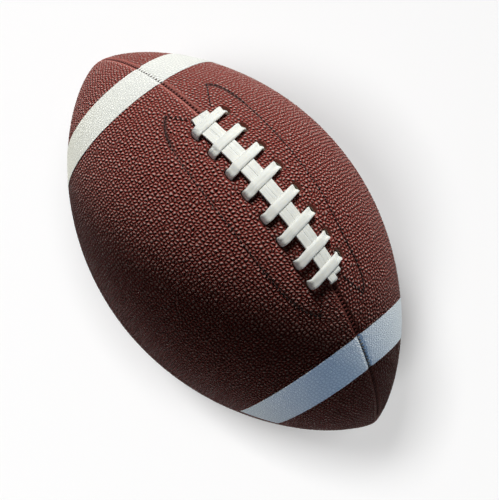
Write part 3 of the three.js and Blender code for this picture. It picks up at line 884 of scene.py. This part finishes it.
def makePanel(name, startAngle, side=0):
    piece = newGrid(name, panel["along"], panel["across"])
    bpy.ops.object.mode_set(mode="EDIT")
    bpy.ops.mesh.select_mode(type="EDGE")
    bpy.ops.mesh.select_all(action="SELECT")
    bpy.ops.mesh.region_to_loop()
    bpy.ops.mesh.extrude_edges_move(TRANSFORM_OT_translate={"value": (0, 0, -1)})
    bpy.ops.mesh.primitive_grid_add(x_subdivisions=panel["innerAlong"], y_subdivisions=panel["innerAcross"],
                                    size=panel["innerShare"], location=(0, 0, -1))
    bpy.ops.mesh.flip_normals()
    bpy.ops.object.mode_set(mode="OBJECT")
    pickRims(piece)
    bpy.ops.object.mode_set(mode="EDIT")
    bpy.ops.mesh.bridge_edge_loops()
    bpy.ops.object.mode_set(mode="OBJECT")
    flat = readPoints(piece)
    outer = flat[:, 2] > -0.5
    s = shareOf(2 * flat[:, 0] * arcOf(tipReach))
    angle, distance, halfWidth = panelPlace(s, closerRows(flat[:, 1]), startAngle)
    inset = rollInset(distance, halfWidth)
    share = easeIn(distance, panel["grainFrom"], panel["grainFade"])
    furrowShade = np.zeros_like(s)
    if side:
        x = ball["halfLength"] * s
        across = radiusAt(s) * (quarter - angle)
        furrow = stitchFurrow(x, across, side)
        inset = inset + furrow + holeDimples(x, across) + band["sink"] * bandShare(s, angle)
        # the furrow under each stitch line is painted darker, most at the aft corner: painted shade
        dark = stitching["furrowShade"][side]
        dark = dark + (stitching["aftFurrowShade"] - dark) * aftShare(x)
        furrowShade = dark * furrow / stitching["furrow"]
        share = share * (1 - stitching["furrowSmooth"] * furrow / stitching["furrow"])
    inset = np.where(outer, inset, ball["panel"])
    writePoints(piece, place(s, angle, inset))
    keepValues(piece, "flatPlace", flatten(s, angle, startAngle))
    keepValues(piece, "grainShare", np.where(outer, share, 0))
    keepValues(piece, "furrowShade", np.where(outer, furrowShade, 0))
    mergePoints(piece, panel["merge"])
    pressGrain(piece, grain["leatherDepth"])
    return piece


# selects the open edges of a piece that is being closed
def pickRims(piece):
    mesh = piece.data
    uses = np.zeros(len(mesh.edges), int)
    loops = np.empty(len(mesh.loops), int)
    mesh.loops.foreach_get("edge_index", loops)
    np.add.at(uses, loops, 1)
    mesh.vertices.foreach_set("select", np.zeros(len(mesh.vertices), bool))
    mesh.polygons.foreach_set("select", np.zeros(len(mesh.polygons), bool))
    mesh.edges.foreach_set("select", uses == 1)
    mesh.update()


# slots through the layers above the hidden lace, a rounded prism each

holes = {
    "length": 0.0068,
    "width": {1: 0.0052, -1: 0.0034},
    "outward": {1: 0.0014, -1: -0.0001},  # the strip lies against the inner side of a right hole
    "slotLength": 0.0028,
    "slotMargin": 0.0006,
    "threadGap": 0.0006,  # between a slot and the seam's thread
    "sides": 32,
    "depth": 0.022,
    "reach": 0.01,  # in and out from the surface, where a slot's direction is taken
}


def makeSlot(x, across, length, width):
    bpy.ops.object.select_all(action="DESELECT")
    bpy.ops.mesh.primitive_cylinder_add(vertices=holes["sides"], radius=0.5, depth=holes["depth"])
    cutter = named("slotCutter")
    reach = holes["reach"]
    low, high = placeAcross(np.array([x, x]), np.array([across, across]), np.array([reach, -reach]))
    up = Vector(high - low).normalized()
    alongX = Vector((1, 0, 0))
    alongX = (alongX - up * alongX.dot(up)).normalized()
    turn = Matrix((alongX, up.cross(alongX), up)).transposed().to_4x4()
    middle = Vector((low + high) / 2)
    cutter.data.transform(Matrix.Translation(middle) @ turn @ Matrix.Diagonal((length, width, 1, 1)))
    return cutter


def laceSlots(side):
    slots = [makeSlot(holeX(i, side), side * (holeAcross(i, side) + holes["outward"][side]),
                      holes["length"], holes["width"][side]) for i in range(lace["crossings"])]
    for end in (lace["aftEnd"], lace["foreEnd"]):
        for strand, x in end.items():
            across = strandMiddle(x) + strandAcross(x, strand)
            slots.append(makeSlot(x, across, holes["slotLength"], strandWidth(x) + holes["slotMargin"]))
    return slots


# valve in the middle of the lower right panel

valve = {
    "angle": 3.5 * quarter,
    "stem": 0.0042,
    "bore": 0.0015,
    "flange": 0.011,
    "flangeThickness": 0.0014,
    "flangeDrop": 0.0018,  # of the flange's top below the bladder's wall
    "recess": 0.0006,
    "needle": 0.0005,
    "needleFlare": 1.4,  # times its width at the top
    "needleDepth": 0.004,
    "clearance": 0.0003,
    "lip": 0.0004,  # roundness of the rims
    "lipPoints": 6,
    "cutterMargin": 0.004,
    "steps": 64,
    "merge": 0.000005,
}
valveFace = ball["radius"] - valve["recess"]
bladderFloor = ball["radius"] - bladderInset - ball["bladder"]
flangeTop = math.sqrt(bladderFloor ** 2 - valve["flange"] ** 2) - valve["flangeDrop"]
flangeBottom = flangeTop - valve["flangeThickness"]


# a profile of radius and height, closed on itself or on the axis, turned about the valve's axis
def turnedAtValve(name, profile):
    edges = [(i, i + 1) for i in range(len(profile) - 1)]
    piece = newMesh(name, [(r, 0, h) for r, h in profile], [], edges)
    pickOnly(piece)
    bpy.ops.object.mode_set(mode="EDIT")
    bpy.ops.mesh.select_all(action="SELECT")
    bpy.ops.mesh.spin(steps=valve["steps"], angle=2 * math.pi, center=(0, 0, 0), axis=(0, 0, 1))
    bpy.ops.object.mode_set(mode="OBJECT")
    mergePoints(piece, valve["merge"])
    outward = Vector((0, math.cos(valve["angle"]), math.sin(valve["angle"])))
    turn = Vector((0, 0, 1)).rotation_difference(outward).to_matrix().to_4x4()
    piece.data.transform(Matrix.Translation((0, 0, ball["centre"])) @ turn)
    return piece


# a rounded corner of a profile, from one direction of turn to another
def lipArc(radius, height, first, last):
    turns = np.radians(np.linspace(first, last, valve["lipPoints"]))
    return [(radius + valve["lip"] * math.cos(t), height + valve["lip"] * math.sin(t)) for t in turns]


def makeValve():
    lip = valve["lip"]
    stem, bore, flange = valve["stem"], valve["bore"], valve["flange"]
    body = [(bore, flangeBottom)]
    body += lipArc(flange - lip, flangeBottom + lip, -90, 0)
    body += lipArc(flange - lip, flangeTop - lip, 0, 90)
    body += [(stem + lip, flangeTop), (stem, flangeTop + lip)]
    body += lipArc(stem - lip, valveFace - lip, 0, 90)
    body += lipArc(bore + lip, valveFace - lip, 90, 180)
    body.append((bore, flangeBottom))
    piece = turnedAtValve("valve_body", body)
    handIn(piece, finishes["valve"], "valve", "valve_body", smoothAngle=50)
    radius = bore - valve["clearance"]
    top = valveFace - valve["clearance"]
    needle = valve["needle"]
    plug = [(0, flangeBottom), (radius, flangeBottom)]
    plug += lipArc(radius - lip, top - lip, 0, 60)
    bottom = top - valve["needleDepth"]
    plug += [(needle * valve["needleFlare"], top), (needle, top - lip), (needle, bottom)]
    plug.append((0, bottom - needle))
    piece = turnedAtValve("valve_plug", plug)
    handIn(piece, finishes["valve"], "valve", "valve_plug", smoothAngle=50)


def makeValveCutter():
    radius = valve["stem"] + valve["clearance"]
    low = flangeBottom - valve["cutterMargin"]
    high = ball["radius"] + valve["cutterMargin"]
    return turnedAtValve("valveCutter", [(0, low), (radius, low), (radius, high), (0, high)])


# layers behind the panels: a sheet with an outer and an inner face
def newLayer(name, along, across):
    piece = newGrid(name, along, across)
    bpy.ops.object.mode_set(mode="EDIT")
    bpy.ops.mesh.select_all(action="SELECT")
    bpy.ops.mesh.extrude_region_move(TRANSFORM_OT_translate={"value": (0, 0, -1)})
    bpy.ops.object.mode_set(mode="OBJECT")
    flat = readPoints(piece)
    return piece, flat, flat[:, 2] > -0.5


layers = {
    "liningAlong": 96,
    "liningAcross": 40,
    "liningTip": 0.995,  # share of the panel's reach
    "stripAlong": 110,
    "stripAcross": 32,
    "stripEnd": 0.999,  # share of the oval's reach
    "leastWidth": 0.0005,
    "tongueOverhang": 0.032,
    "tongueHalfWidth": 0.027,
    "dentEase": 0.009,
    "bladderSegments": 128,
    "bladderRings": 96,
}


def makeLining(name, startAngle, cutters):
    piece, flat, outer = newLayer(name, layers["liningAlong"], layers["liningAcross"])
    s = shareOf(2 * flat[:, 0] * arcOf(tipReach * layers["liningTip"]))
    angle = panelPlace(s, flat[:, 1], startAngle)[0]
    writePoints(piece, place(s, angle, np.where(outer, liningInset, liningInset + ball["lining"])))
    keepValues(piece, "flatPlace", flatten(s, angle, startAngle))
    mergePoints(piece)
    cutHoles(piece, cutters)
    handIn(piece, finishes["lining"], "lining", name)


# half width of an oval at a distance along the ball
def ovalWidth(x, halfX, halfWidth, power=3):
    return halfWidth * np.clip(1 - (np.abs(x) / halfX) ** power, 0, 1) ** (1 / power)


def layStrip(piece, flat, outer, halfX, across, inset, thickness):
    x = halfX * np.sin(flat[:, 0] * math.pi) * layers["stripEnd"]
    across = across(x)
    writePoints(piece, placeAcross(x, across, np.where(outer, inset, inset + thickness)))
    keepValues(piece, "flatPlace", np.stack([x, across, np.zeros_like(x)], axis=-1))
    mergePoints(piece)


def makeFacing(side, sign, cutters):
    name = f"lace_facing_{side}"
    piece, flat, outer = newLayer(name, layers["stripAlong"], layers["stripAcross"])
    oval = stitching["oval"][sign]
    halfX = laceHalf + oval["overhang"] + stitching["margin"]
    halfWidth = oval["width"] + stitching["margin"]
    share = flat[:, 1] + 0.5 if sign > 0 else 0.5 - flat[:, 1]
    seam = panel["seamGap"] / 2

    def across(x):
        width = ovalWidth(x, halfX, halfWidth, oval["outline"]) * narrowed(x, oval["narrowing"])
        return sign * (seam + share * np.maximum(width - seam, layers["leastWidth"]))

    layStrip(piece, flat, outer, halfX, across, facingInset, ball["facing"])
    cutHoles(piece, cutters)
    handIn(piece, finishes["facing"], "facing", name)


tongueReach = laceHalf + layers["tongueOverhang"]


def makeTongue():
    piece, flat, outer = newLayer("lace_tongue", layers["stripAlong"], 2 * layers["stripAcross"])

    def across(x):
        width = ovalWidth(x, tongueReach, layers["tongueHalfWidth"])
        return 2 * flat[:, 1] * np.maximum(width, layers["leastWidth"])

    layStrip(piece, flat, outer, tongueReach, across, tongueInset, ball["tongue"])
    handIn(piece, finishes["tongue"], "tongue", "lace_tongue")


# the bladder is pressed in under the tongue
def makeBladder(cutter):
    bpy.ops.object.select_all(action="DESELECT")
    segments, rings = layers["bladderSegments"], layers["bladderRings"]
    bpy.ops.mesh.primitive_uv_sphere_add(segments=segments, ring_count=rings)
    piece = named("bladder")
    sphere = readPoints(piece)
    s = np.clip(sphere[:, 2], -1, 1)
    angle = np.arctan2(sphere[:, 1], sphere[:, 0])
    x = ball["halfLength"] * s
    across = radiusAt(s) * np.abs((quarter - angle + math.pi) % (2 * math.pi) - math.pi)
    ease = layers["dentEase"]
    beyond = across - ovalWidth(x, tongueReach + ease, layers["tongueHalfWidth"] + ease / 2)
    dent = 1 - easeIn(beyond, -ease / 4, ease)
    writePoints(piece, place(s, angle, bladderInset + (dentInset - bladderInset) * dent))
    mergePoints(piece)
    applyModifier(piece, "SOLIDIFY", thickness=ball["bladder"], offset=-1)
    cutHoles(piece, [cutter])
    handIn(piece, finishes["bladder"], "bladder", "bladder")


# stitches: one is shaped once and copied along its line, each copy sunk at both ends

seamStitch = {
    "pitch": 0.00235,
    "length": 0.0024,
    "width": 0.00135,
    "thickness": 0.0007,
    "inset": 0.00065,
    "bow": 0.00012,
    "core": 0.00042,
    "coreInset": 0.0016,
    "coreSides": 8,
    "coreSteps": 3,  # for each stitch
    "tipX": 0.1375,
}


def newStitch(length, width, thickness, bow):
    bpy.ops.object.select_all(action="DESELECT")
    bpy.ops.mesh.primitive_uv_sphere_add(segments=8, ring_count=6, radius=0.5)
    stitch = named("stitch")
    bpy.ops.object.mode_set(mode="EDIT")
    bpy.ops.transform.rotate(value=quarter, orient_axis="Y", center_override=(0, 0, 0))
    bpy.ops.transform.resize(value=(length, width, thickness), center_override=(0, 0, 0))
    bpy.ops.object.mode_set(mode="OBJECT")
    points = readPoints(stitch)
    points[:, 2] -= bow * (2 * points[:, 0] / length) ** 2
    writePoints(stitch, points)
    return stitch


# a stitch's length lies along, its thickness outward
def copyStitch(stitch, name, centre, along, outward):
    shape = readPoints(stitch)
    side = np.cross(outward, along)
    points = (centre[:, None] + along[:, None] * shape[None, :, :1] + side[:, None] * shape[None, :, 1:2]
              + outward[:, None] * shape[None, :, 2:])
    faces = [tuple(face.vertices) for face in stitch.data.polygons]
    copies = [tuple(v + k * len(shape) for v in face) for k in range(len(centre)) for face in faces]
    removePieces([stitch])
    return newMesh(name, points.reshape(-1, 3), copies)


def unit(vectors):
    return vectors / np.linalg.norm(vectors, axis=1)[:, None]


def makeSeam(name, angle, fromX, toX):
    reach = arcOf(np.array([fromX, toX]) / ball["halfLength"])
    count = int((reach[1] - reach[0]) / seamStitch["pitch"])
    s = shareOf(np.linspace(reach[0], reach[1], count + 1)[:-1] + seamStitch["pitch"] / 2)
    centre = place(s, angle, seamStitch["inset"])
    nudge = 0.001
    forward = unit(place(s + nudge, angle, 0) - place(s - nudge, angle, 0))
    across = np.array([[0, -math.sin(angle), math.cos(angle)]])
    along = np.repeat(across, count, axis=0)  # the stitches lie across the seam
    stitch = newStitch(seamStitch["length"], seamStitch["width"], seamStitch["thickness"],
                       seamStitch["bow"])
    piece = copyStitch(stitch, name, centre, along, np.cross(forward, along))
    # the bands are printed over the laced seam's thread
    fromMiddle = np.abs(np.abs(centre[:, 0]) - band["innerX"] - band["width"] / 2)
    inked = easeIn(band["width"] / 2 - fromMiddle, 0, band["inkEdge"]) * (angle == quarter)
    ink = np.repeat(band["ink"] * inked, len(piece.data.vertices) // count)
    # the core that the stitches are drawn over lies at the bottom of the groove
    s = shareOf(np.linspace(reach[0], reach[1], seamStitch["coreSteps"] * count))
    theta = 2 * math.pi * np.arange(seamStitch["coreSides"]) / seamStitch["coreSides"]
    sideways = np.tile(seamStitch["core"] * np.cos(theta), (len(s), 1))
    outwards = np.tile(seamStitch["core"] * np.sin(theta), (len(s), 1))
    middle = place(s, angle, seamStitch["coreInset"])
    core = sweep("core", middle, np.repeat(across, len(s), axis=0), sideways, outwards)
    ink = np.concatenate([ink, np.zeros(len(core.data.vertices))])
    pickOnly(piece)
    core.select_set(True)
    bpy.ops.object.join()
    keepValues(piece, "ink", ink)
    faceOutward(piece)
    handIn(piece, finishes["seam_thread"], "seam_thread", name, smoothAngle=80)


def makeFacingStitch(side, sign):
    name = f"facing_stitch_{side}"
    lineX, lineAcross, gone = stitchLine(sign)
    count = int(gone[-1] / stitching["pitch"])
    at = (np.arange(count) + 0.5) * gone[-1] / count
    ahead, above = 0.0003, 0.001  # where a stitch's directions are taken
    x, across = np.interp(at, gone, lineX), sign * np.interp(at, gone, lineAcross)
    nextX, nextAcross = np.interp(at + ahead, gone, lineX), sign * np.interp(at + ahead, gone, lineAcross)
    thread = stitching["thread"][sign]
    inset = stitching["furrow"] - thread * stitching["seat"] - stitching["aftRise"] * aftShare(x)
    centre = placeAcross(x, across, inset)
    along = unit(placeAcross(nextX, nextAcross, inset) - centre)
    outward = unit(placeAcross(x, across, inset - above) - centre)
    outward = unit(outward - along * np.sum(outward * along, axis=1)[:, None])
    stitch = newStitch(stitching["length"][sign], thread, thread, stitching["sink"])
    piece = copyStitch(stitch, name, centre, along, outward)
    keepValues(piece, "ink", np.zeros(len(piece.data.vertices)))
    handIn(piece, finishes["stitch_thread"], "stitch_thread", name, smoothAngle=80)


sides = {
    "right": {"sign": 1, "upper": 0.0, "lower": 3 * quarter},
    "left": {"sign": -1, "upper": quarter, "lower": 2 * quarter},
}
valveCutter = makeValveCutter()
for side, values in sides.items():
    slots = laceSlots(values["sign"])
    valveHole = [valveCutter] if side == "right" else []
    upper = makePanel(f"laced_panel_{side}", values["upper"], values["sign"])
    cutHoles(upper, slots)
    handIn(upper, finishes["leather"], "leather", f"laced_panel_{side}", smoothAngle=60)
    lower = makePanel(f"lower_panel_{side}", values["lower"])
    cutHoles(lower, valveHole)
    handIn(lower, finishes["leather"], "leather", f"lower_panel_{side}", smoothAngle=60)
    makeLining(f"laced_panel_lining_{side}", values["upper"], slots)
    makeLining(f"lower_panel_lining_{side}", values["lower"], valveHole)
    makeFacing(side, values["sign"], slots)
    makeFacingStitch(side, values["sign"])
    removePieces(slots)
    print("panels made:", side, len(upper.data.polygons), len(lower.data.polygons), "faces")
makeTongue()
makeBladder(valveCutter)
makeValve()
removePieces([valveCutter])
tip = seamStitch["tipX"]
slotEdge = holes["slotLength"] / 2 + holes["threadGap"]
makeSeam("seam_thread_right", 0.0, -tip, tip)
makeSeam("seam_thread_left", 2 * quarter, -tip, tip)
makeSeam("seam_thread_bottom", 3 * quarter, -tip, tip)
makeSeam("seam_thread_top_aft", quarter, -tip, aftSlotX - slotEdge)
makeSeam("seam_thread_top_fore", quarter, foreSlotX + slotEdge, tip)
print("layers, valve and seams made")


# a band is a film that follows its panel's rolled edges and grain
def makeBand(side, startAngle, end):
    name = f"stripe_{'fore' if end > 0 else 'aft'}_{side}"
    piece, flat, outer = newLayer(name, band["along"], band["across"])
    x = band["innerX"] + band["width"] * (flat[:, 0] + 0.5)
    rows = closerRows(flat[:, 1])
    angle = panelPlace(x / ball["halfLength"], rows, startAngle)[0]
    s = end * (x + band["slant"][end] * (1 - angle / quarter)) / ball["halfLength"]
    angle, distance, halfWidth = panelPlace(s, rows, startAngle)
    roll = rollInset(distance, halfWidth)
    writePoints(piece, place(s, angle, roll + np.where(outer, -band["lift"], band["lift"])))
    keepValues(piece, "flatPlace", flatten(s, angle, startAngle))
    keepValues(piece, "grainShare", easeIn(distance, panel["grainFrom"], panel["grainFade"]))
    mergePoints(piece)
    pressGrain(piece, grain["printDepth"])
    handIn(piece, finishes["print"], "print", name, smoothAngle=60)
    return piece


bands = [makeBand(side, values["upper"], end) for side, values in sides.items() for end in (1, -1)]
print("bands made:", len(bands))

# camera at the photograph's place, from a fit of the ball's outline, seam and bands

view = {
    "place": (0.04271, -0.15575, 0.41347),  # from the ball's middle
    "right": (0.60992, 0.75359, 0.2452),
    "up": (-0.78938, 0.55038, 0.27199),
    "back": (0.07001, -0.35945, 0.93054),
    "focalPixels": 715.6,
    "longSide": 500,
    "sensor": 36,
    "clipStart": 0.01,
}


def makeCamera():
    bpy.ops.object.camera_add()
    camera = bpy.context.active_object
    turn = Matrix((view["right"], view["up"], view["back"])).transposed().to_4x4()
    camera.matrix_world = Matrix.Translation(Vector(view["place"]) + Vector((0, 0, ball["centre"]))) @ turn
    camera.data.sensor_width = view["sensor"]
    camera.data.lens = view["focalPixels"] * view["sensor"] / view["longSide"]
    camera.data.clip_start = view["clipStart"]
    bpy.context.scene.camera = camera


makeCamera()

# pale floor, soft lamps and a faint sky

studio = {
    "floor": (0.9, 0.9, 0.9, 1),
    "floorUnseen": (0.06, 0.06, 0.06, 1),  # what the ball's own shade takes from the floor
    "floorSize": 12.0,
    "glow": 0.01,
    "wall": 2.4,  # height of the backdrop round the floor
    "wallFrom": 0.002,  # the floor's look ends this far up
    "wallGlow": 0.97,
    "sky": (1.0, 0.82, 0.74, 1),
    "skyStrength": 0.015,
}

# what each lamp lights, the direction it stands in from the ball's middle, and how far away
lamps = {
    "key": {"lights": "dark", "toward": (-0.74, 0.42, 0.53), "distance": 1.5, "size": 0.4, "power": 34},
    "laceKey": {"lights": "lace", "toward": (-0.48, 0.46, 0.75), "distance": 1.5, "size": 0.3,
                "power": 23.5, "colour": (0.97, 1.0, 1.0)},
    "laceFill": {"lights": "lace", "toward": (0.0, -0.8, 0.6), "distance": 1.5, "size": 0.6,
                 "power": 2.6, "colour": (0.9, 0.9, 1.0)},
    "bandKey": {"lights": "bands", "toward": (-0.54, 0.6, 0.57), "distance": 1.5, "size": 0.35,
                "power": 24.4, "colour": (1.0, 0.97, 0.94)},
    "warmFill": {"lights": "bands", "toward": (-0.62, -0.78, 0.1), "distance": 1.5, "size": 0.6,
                 "power": 18.5, "colour": (1.0, 0.95, 0.83)},
    "blueFill": {"lights": "bands", "toward": (0.5, -0.4, 0.77), "distance": 1.5, "size": 0.6,
                 "power": 4.7, "colour": (0.25, 0.5, 1.0)},
    "floorLampLeft": {"lights": "floor", "toward": (-0.6, -0.36, 1.0), "distance": 12.0, "size": 3.2,
                      "power": 735},
    "floorLampNear": {"lights": "floor", "toward": (0.0, -0.9, 1.0), "distance": 12.0, "size": 3.2,
                      "power": 705},
    "floorLampTop": {"lights": "floor", "toward": (0.0, -0.1, 1.0), "distance": 12.0, "size": 5.0,
                     "power": 440},
    "coolFill": {"lights": "pale", "toward": (0.75, 0.65, 0.1), "distance": 1.5, "size": 0.6,
                 "power": 6.3, "colour": (0.8, 0.92, 1.0)},
}


# a surface that the camera, gloss and glass see pale, and that throws little light back on the ball
def makeFloor():
    bpy.ops.object.select_all(action="DESELECT")
    bpy.ops.mesh.primitive_plane_add(size=studio["floorSize"], location=(0, 0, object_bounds()[0][2]))
    floor = named("floor")
    bpy.ops.object.mode_set(mode="EDIT")
    bpy.ops.mesh.select_mode(type="EDGE")
    bpy.ops.mesh.select_all(action="SELECT")
    bpy.ops.mesh.region_to_loop()
    bpy.ops.mesh.extrude_edges_move(TRANSFORM_OT_translate={"value": (0, 0, studio["wall"])})
    bpy.ops.object.mode_set(mode="OBJECT")
    finish, wire, shader = newFinish("paleFloor", {"Roughness": 0.9, "Specular IOR Level": 0.0})
    path = wire.node("ShaderNodeLightPath", output="Is Camera Ray")
    rays = path.socket.node.outputs
    seen = path + Wire(wire.tree, rays["Is Glossy Ray"]) + Wire(wire.tree, rays["Is Transmission Ray"])
    shown = wire.math("MINIMUM", seen, 1.0)
    height = wire.node("ShaderNodeSeparateXYZ", {}, {"Vector": objectPlace(wire)}, output="Z")
    wall = height.between(0.0, studio["wallFrom"])
    glow = studio["glow"] + (studio["wallGlow"] - studio["glow"]) * wall
    shader.inputs["Emission Strength"].default_value = 1.0
    (shown * glow).colour((0, 0, 0, 1), (1, 1, 1, 1)).feed(shader, "Emission Color")
    (shown * (1 - wall)).colour(studio["floorUnseen"], studio["floor"]).feed(shader, "Base Color")
    floor.data.materials.append(finish)
    floor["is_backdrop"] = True
    return floor


# a lamp that lights only some pieces, or all but some
def makeLamp(name, settings, pieces, state):
    bpy.ops.object.light_add(type="AREA")
    lamp = bpy.context.active_object
    lamp.name = name
    lamp.data.size = settings["size"]
    lamp.data.energy = settings["power"]
    lamp.data.color = settings.get("colour", (1, 1, 1))
    toward = Vector(settings["toward"]).normalized()
    lamp.location = Vector((0, 0, ball["centre"])) + toward * settings["distance"]
    lamp.rotation_euler = toward.to_track_quat("Z", "Y").to_euler()
    lit = bpy.data.collections.new(f"{name}Lit")
    for piece in pieces:
        lit.objects.link(piece)
    for linked in lit.collection_objects:
        linked.light_linking.link_state = state
    lamp.light_linking.receiver_collection = lit


def makeSky():
    world = bpy.data.worlds.new("sky")
    world.use_nodes = True
    shade = world.node_tree.nodes["Background"]
    shade.inputs["Color"].default_value = studio["sky"]
    shade.inputs["Strength"].default_value = studio["skyStrength"]
    bpy.context.scene.world = world


floor = makeFloor()
pale = [lacing] + bands
litPieces = {
    "dark": ([floor] + pale, "EXCLUDE"),
    "lace": ([lacing], "INCLUDE"),
    "bands": (bands, "INCLUDE"),
    "pale": (pale, "INCLUDE"),
    "floor": ([floor], "INCLUDE"),
}
for name, settings in lamps.items():
    makeLamp(name, settings, *litPieces[settings["lights"]])
makeSky()
bpy.context.scene.view_settings.view_transform = "Standard"
print("studio set")
